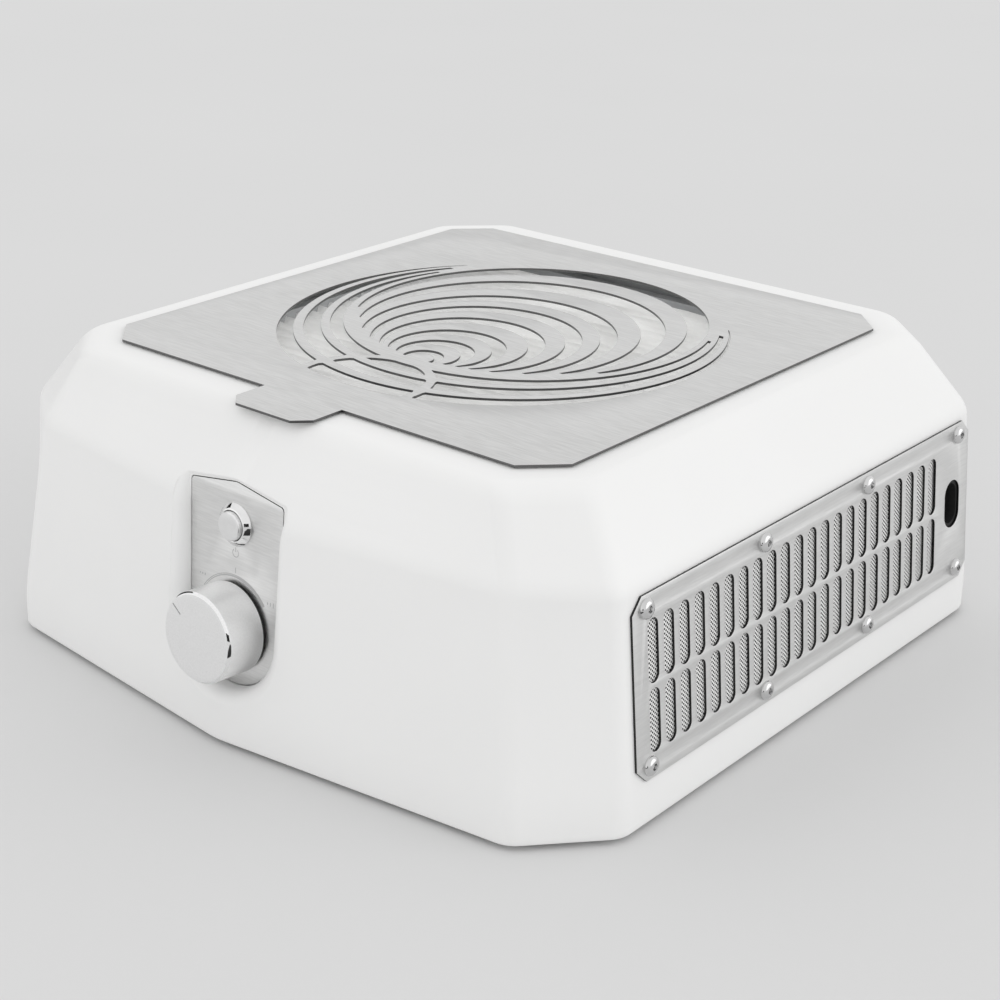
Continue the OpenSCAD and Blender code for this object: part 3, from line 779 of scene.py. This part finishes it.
def polished(name, dark, light, rough):
    s = Shader(name)
    smear = s.noise(240.0, detail=3.0)
    s.link(s.colours(smear, 0.3, 0.7, dark, light), s.bsdf.inputs["Base Color"])
    s.link(s.ramp(smear, 0.3, 0.7, rough, rough + 0.05), s.bsdf.inputs["Roughness"])
    s.set(Metallic=1.0)
    return s.material


def knob_metal():
    """Satin turned metal with a polished chamfer."""
    s = Shader("knob_satin")
    fine = s.noise(1700.0, detail=3.0)
    s.link(s.colours(fine, 0.3, 0.7, (0.88, 0.88, 0.88), (0.94, 0.94, 0.94)),
           s.bsdf.inputs["Base Color"])
    off_chamfer = s.facing(FRONT_N, 0.707)
    s.link(s.ramp(off_chamfer, 0.2, 0.28, 0.04, 0.42), s.bsdf.inputs["Roughness"])
    s.bump(fine, 0.06, 0.00003)
    s.set(Metallic=1.0)
    return s.material


def fibre_with_painted_glow(name):
    s = Shader(name)
    fine = s.noise(1400.0, detail=6.0)
    broad = s.noise(45.0, detail=3.0)
    s.link(s.colours(broad, 0.35, 0.65, (0.80, 0.80, 0.79), (0.90, 0.90, 0.89)),
           s.bsdf.inputs["Base Color"])
    s.link(s.ramp(fine, 0.3, 0.7, 0.75, 0.95), s.bsdf.inputs["Roughness"])
    s.bump(fine, 0.35, 0.00015)
    # The emission makes the media glow though it is no lamp: painted light for the light that
    # reaches the pleats through the cover's cuts.
    s.set(Metallic=0.0, Emission_Color=(1, 1, 1, 1), Emission_Strength=0.16)
    return s.material


MATERIALS = {
    "shell_white": plastic("shell_satin", (0.885, 0.885, 0.88), (0.905, 0.905, 0.90), 0.45),
    # The cover, the exhaust panel and the control plate are one sheet steel; their base tones
    # differ to match how bright each panel looks in its light: painted light.
    # The edge colour of each brushed steel, given last or left at its default, is painted shade on
    # its cut edges.
    "sheet_steel": brushed("cover_brushed", (0.60, 0.60, 0.595), (0.71, 0.71, 0.705),
                           (0.07, 1, 1), 0.34, (0, 0, 1), (0.16, 0.16, 0.16)),
    "side_steel": brushed("panel_brushed", (0.73, 0.73, 0.725), (0.79, 0.79, 0.785),
                          (1, 0.06, 1), 0.36, SIDE_N),
    "front_steel": brushed("control_brushed", (0.75, 0.75, 0.745), (0.83, 0.83, 0.825),
                           (0.07, 1, 1), 0.34, FRONT_N, (0.10, 0.10, 0.10)),
    "zinc_steel": polished("zinc_bright", (0.62, 0.62, 0.63), (0.74, 0.74, 0.74), 0.22),
    "plain_steel": plastic("base_paint", (0.52, 0.53, 0.54), (0.60, 0.61, 0.62), 0.45),
    "rubber_black": plastic("foot_rubber", (0.025, 0.025, 0.025), (0.045, 0.045, 0.045), 0.75),
    "filter_board": plastic("frame_board", (0.50, 0.51, 0.52), (0.60, 0.61, 0.62), 0.65),
    "filter_media": fibre_with_painted_glow("media_fibre"),
    "foam_black": plastic("gasket_foam", (0.04, 0.04, 0.04), (0.09, 0.09, 0.09), 0.9, 700, 0.5),
    "well_grey": plastic("well_paint", (0.50, 0.51, 0.52), (0.58, 0.59, 0.60), 0.5),
    "fan_black": plastic("fan_plastic", (0.04, 0.04, 0.045), (0.06, 0.06, 0.065), 0.5),
    "motor_alu": plastic("motor_cast", (0.48, 0.49, 0.50), (0.58, 0.59, 0.60), 0.4, metallic=1.0),
    "shaft_steel": polished("shaft_ground", (0.70, 0.70, 0.70), (0.78, 0.78, 0.78), 0.15),
    "mesh_steel": plastic("mesh_zinc", (0.86, 0.86, 0.85), (0.92, 0.92, 0.91), 0.45, metallic=0.2),
    "inlet_black": plastic("inlet_plastic", (0.008, 0.008, 0.008), (0.018, 0.018, 0.018), 0.7),
    "pin_brass": polished("pin_plated", (0.72, 0.70, 0.62), (0.82, 0.80, 0.72), 0.2),
    "board_green": plastic("board_mask", (0.05, 0.19, 0.09), (0.07, 0.25, 0.12), 0.4),
    "parts_black": plastic("parts_moulded", (0.06, 0.06, 0.07), (0.10, 0.10, 0.11), 0.45),
    "chrome_bright": polished("chrome_polish", (0.80, 0.80, 0.80), (0.86, 0.86, 0.86), 0.05),
    # The screws get a darker copy of the bright chrome: painted shade for the dark reflections in
    # their faces.
    "chrome_screw_shaded": polished("chrome_screw_shaded_polish", (0.60, 0.60, 0.60), (0.70, 0.70, 0.70), 0.06),
    "cap_satin": polished("cap_satin", (0.84, 0.84, 0.84), (0.90, 0.90, 0.90), 0.3),
    "knob_alu": knob_metal(),
    "mark_grey": plastic("mark_etch", (0.46, 0.46, 0.46), (0.54, 0.54, 0.54), 0.6),
    "pointer_dark": plastic("pointer_ink", (0.30, 0.30, 0.30), (0.38, 0.38, 0.38), 0.6),
}


def paint(obj, key):
    material = MATERIALS[key]
    if obj.data.materials:
        for i in range(len(obj.data.materials)):
            obj.data.materials[i] = material
    else:
        obj.data.materials.append(material)


slots = {part["node"]: part["material_slot"] for part in frame["record"]["subparts"]}
for name, obj in frame["nodes"].items():
    paint(obj, slots[name])


def piece(obj, body, key, slot, *nodes):
    """Paint an object, put it on its body, and hide the CAD nodes it stands for."""
    paint(obj, key)
    if nodes:
        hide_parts(*nodes)
    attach(obj, body)


piece(build_housing(), "housing", "shell_white", "shell_white", "housing_shell")
piece(build_cover(), "cover", "sheet_steel", "sheet_steel", "cover_plate")
piece(build_panel(), "housing", "side_steel", "sheet_steel", "exhaust_panel")
piece(build_control(), "housing", "front_steel", "sheet_steel", "control_plate")
piece(build_perforated(), "housing", "mesh_steel", "mesh_steel", "exhaust_mesh")
for screw in build_screws():
    piece(screw, "housing", "chrome_screw_shaded", "chrome_bright", "panel_screws")
piece(build_knob(), "speed_knob", "knob_alu", "knob_alu", "knob")
piece(build_collar(), "speed_knob", "inlet_black", "parts_black")
piece(build_pointer(), "speed_knob", "pointer_dark", "parts_black")
piece(build_bezel(), "housing", "chrome_bright", "chrome_bright", "button_bezel")
piece(build_cap(), "push_button", "cap_satin", "knob_alu", "button_cap")
piece(build_pleats(), "filter", "filter_media", "filter_media", "filter_pleats")
for mark in build_marks():
    piece(mark, "housing", "mark_grey", "parts_black")


# ---- studio -----------------------------------------------------------------

def floor_material():
    s = Shader("floor_pale")
    mottle = s.noise(3.0, detail=2.0)
    s.link(s.colours(mottle, 0.3, 0.7, (0.72, 0.72, 0.72), (0.73, 0.73, 0.73)),
           s.bsdf.inputs["Base Color"])
    s.link(s.ramp(mottle, 0.3, 0.7, 0.85, 0.95), s.bsdf.inputs["Roughness"])
    s.set(Specular_IOR_Level=0.0)
    return s.material


FLOOR_HALF = 9.0
floor = mesh_object("floor", [(x, y, 0) for x, y in rectangle(-FLOOR_HALF, -FLOOR_HALF,
                                                              FLOOR_HALF, FLOOR_HALF)],
                    [[0, 1, 2, 3]], Matrix.Identity(4), 0)
floor.data.materials.append(floor_material())


def sun(name, direction, strength, spread):
    data = bpy.data.lights.new(name, "SUN")
    data.energy = strength
    data.angle = math.radians(spread)
    obj = bpy.data.objects.new(name, data)
    bpy.context.scene.collection.objects.link(obj)
    obj.rotation_euler = Vector(direction).to_track_quat("Z", "Y").to_euler()


sun("key_right", (0.86, 0.48, 0.14), 0.55, 60)
sun("fill_front", (-0.55, -0.83, 0.04), 0.20, 80)


flag_black = plastic("flag_black", (0.005, 0.005, 0.005), (0.012, 0.012, 0.012), 0.9)


def flag(name, points):
    """Black card that only shows up in reflections."""
    obj = mesh_object(name, points, [[0, 1, 2, 3]], Matrix.Identity(4), 0)
    obj.data.materials.append(flag_black)
    obj.visible_camera = False
    obj.visible_diffuse = False
    obj.visible_shadow = False


flag("flag_left", [(-1.2, -0.46, 0.86), (-1.2, -0.14, 0.80), (-1.2, 0.36, 0.0),
                   (-1.2, -0.02, 0.0)])
flag("flag_low", [(0.030, -0.238, 0.003), (0.090, -0.192, 0.003), (0.42, -0.28, 0.003),
                  (0.36, -0.46, 0.003)])
flag("flag_back", [(1.15, -2.0, 0.0), (1.9, -1.6, 0.0), (1.9, -1.6, 0.55), (1.15, -2.0, 0.55)])

world = bpy.data.worlds.new("studio")
bpy.context.scene.world = world
world.use_nodes = True
background = world.node_tree.nodes["Background"]
background.inputs["Color"].default_value = (1.0, 1.0, 1.0, 1.0)
background.inputs["Strength"].default_value = 0.93

bpy.context.scene.view_settings.view_transform = "Standard"

# ---- camera -----------------------------------------------------------------

# Direction, roll and lens that match the photograph's perspective
AZ, EL, ROLL = 0.68817689, 0.39769393, 0.01592689
EYE = (497.002, -603.914, 373.912)
right = Vector((math.cos(AZ), math.sin(AZ), 0))
back = Vector((math.sin(AZ) * math.cos(EL), -math.cos(AZ) * math.cos(EL), math.sin(EL)))
up = back.cross(right)
cam_x = right * math.cos(ROLL) + up * math.sin(ROLL)
cam_y = back.cross(cam_x)
camera_data = bpy.data.cameras.new("camera")
camera_data.lens = 71.9485
camera_data.sensor_width = 36.0
camera_data.clip_end = 50.0
camera = bpy.data.objects.new("camera", camera_data)
bpy.context.scene.collection.objects.link(camera)
camera.matrix_world = axes_matrix(cam_x, cam_y, back,
                                  shifted() @ Vector((EYE[0], EYE[1], EYE[2] + FOOT_H)))
bpy.context.scene.camera = camera
